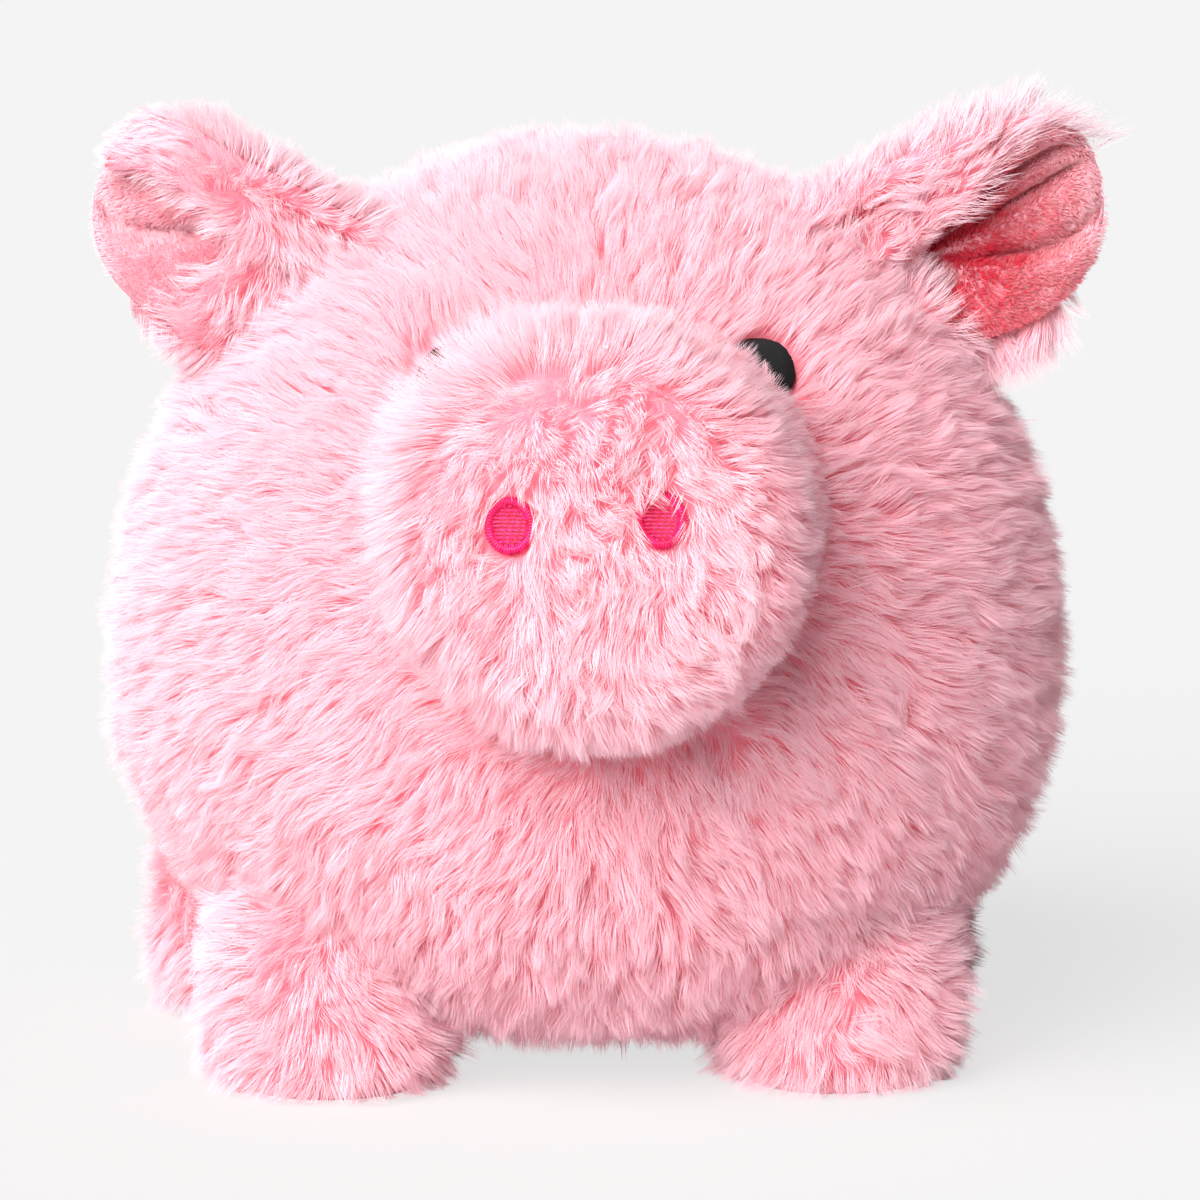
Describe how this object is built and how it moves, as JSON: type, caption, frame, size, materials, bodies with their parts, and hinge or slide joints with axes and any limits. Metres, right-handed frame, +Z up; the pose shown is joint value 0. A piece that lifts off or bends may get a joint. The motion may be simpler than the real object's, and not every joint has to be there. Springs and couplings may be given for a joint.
{
  "type": "plush piggy bank",
  "caption": "Round long-pile plush pig sewn round a rigid coin canister, with a coin slot behind the crown, a stoppered outlet in the belly, floppy ears and a curled tail.",
  "frame": {"origin": "middle of the part's footprint, on the floor under the four soles", "axes": "+Z up, the pig faces -Y, and +X is to the right of someone looking at its face; left and right in the names are as seen by that viewer"},
  "size_m": [0.208, 0.267, 0.1981],
  "materials": {
    "plush": "long-pile polyester plush, pale pink with deeper pink between the clumps",
    "ear_lining": "short-pile minky, rose pink",
    "filling": "loose polyester fibre",
    "black_thread": "satin-stitch embroidery",
    "magenta_thread": "satin-stitch rim with a woven middle",
    "white_plastic": "moulded polypropylene",
    "pink_plastic": "moulded, semi-gloss",
    "stopper_rubber": "soft moulded rubber"
  },
  "bodies": {
    "pig": {"body_skin_left": "plush", "body_skin_right": "plush", "belly_panel": "plush", "body_stuffing": "filling", "eye_left": "black_thread", "eye_right": "black_thread", "canister_lid": "white_plastic", "canister_wall": "white_plastic", "canister_funnel": "white_plastic", "canister_neck": "white_plastic", "slot_frame": "pink_plastic", "slot_backing_plate": "white_plastic", "outlet_collar": "pink_plastic", "snout_wall": "plush", "snout_disc": "plush", "snout_stuffing": "filling", "nostril_left": "magenta_thread", "nostril_right": "magenta_thread", "front_left_leg": "plush", "front_left_sole": "plush", "front_left_leg_stuffing": "filling", "front_right_leg": "plush", "front_right_sole": "plush", "front_right_leg_stuffing": "filling", "rear_left_leg": "plush", "rear_left_sole": "plush", "rear_left_leg_stuffing": "filling", "rear_right_leg": "plush", "rear_right_sole": "plush", "rear_right_leg_stuffing": "filling"},
    "stopper": {"stopper": "stopper_rubber"},
    "ear_left": {"ear_left_outer": "plush", "ear_left_lining": "ear_lining"},
    "ear_right": {"ear_right_outer": "plush", "ear_right_lining": "ear_lining"},
    "tail": {"tail": "plush"}
  },
  "joints": [
    {"name": "stopper_pull", "type": "slide", "parent": "pig", "child": "stopper", "axis": [0, 0, -1], "range_m": [0, 0.03]},
    {"name": "ear_left_flop", "type": "hinge", "parent": "pig", "child": "ear_left", "pos_m": [-0.06245, -0.01548, 0.1649], "axis": [0.4919, -0.179, 0.852], "range_deg": [-20, 30], "stiffness_Nm_per_rad": 0.03},
    {"name": "ear_right_flop", "type": "hinge", "parent": "pig", "child": "ear_right", "pos_m": [0.05863, -0.01551, 0.16502], "axis": [0.4177, 0.152, -0.8958], "range_deg": [-20, 30], "stiffness_Nm_per_rad": 0.03},
    {"name": "tail_swing", "type": "hinge", "parent": "pig", "child": "tail", "pos_m": [-0.00182, 0.1011, 0.108], "axis": [1, 0, 0], "range_deg": [-25, 25], "stiffness_Nm_per_rad": 0.01}
  ]
}
